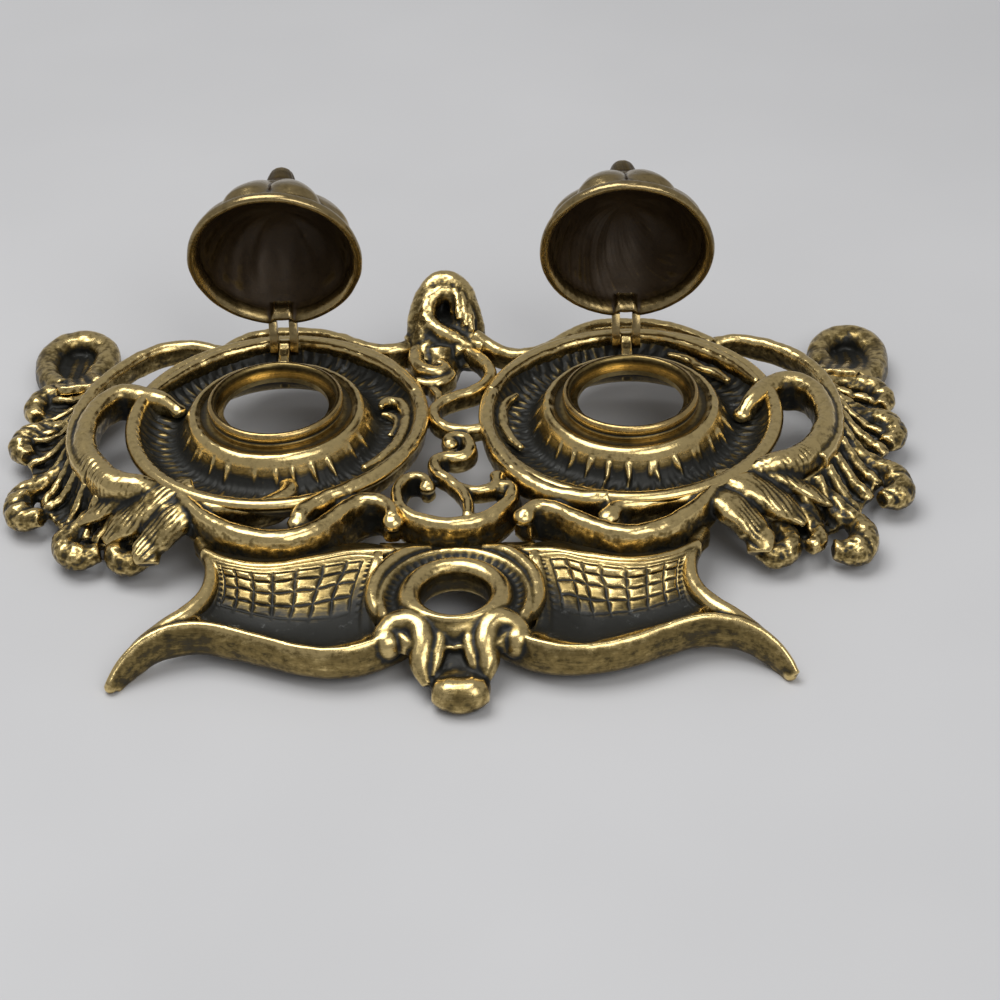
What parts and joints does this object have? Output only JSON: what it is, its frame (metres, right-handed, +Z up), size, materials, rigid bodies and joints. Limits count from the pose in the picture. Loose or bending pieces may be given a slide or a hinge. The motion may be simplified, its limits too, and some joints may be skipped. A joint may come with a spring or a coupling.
{
  "type": "desk inkstand",
  "caption": "Pierced brass desk inkstand with scrollwork, pen tray, turned collars for ink liners and hinged domed lids shown open.",
  "frame": {"origin": "on the table, under the middle of the outline", "axes": "+X along the line of the two wells, to the right as seen from the pen tray; +Y to the back; +Z up"},
  "size_m": [0.251, 0.17, 0.0778],
  "materials": {
    "cast_brass": "aged, dark in the hollows and worn bright on the crests",
    "lid_brass": "aged satin, dark inside",
    "turned_brass": "aged satin"
  },
  "bodies": {
    "stand": {"base_casting": "cast_brass", "left_well_collar": "turned_brass", "right_well_collar": "turned_brass", "left_hinge_pin": "turned_brass", "right_hinge_pin": "turned_brass"},
    "left_lid": {"left_lid": "lid_brass"},
    "right_lid": {"right_lid": "lid_brass"}
  },
  "joints": [
    {"name": "left_lid_hinge", "type": "hinge", "parent": "stand", "child": "left_lid", "pos_m": [-0.04835, 0.05, 0.0229], "axis": [1, 0, 0], "range_deg": [0, 77.2]},
    {"name": "right_lid_hinge", "type": "hinge", "parent": "stand", "child": "right_lid", "pos_m": [0.04835, 0.05, 0.0229], "axis": [1, 0, 0], "range_deg": [0, 78.9]}
  ]
}
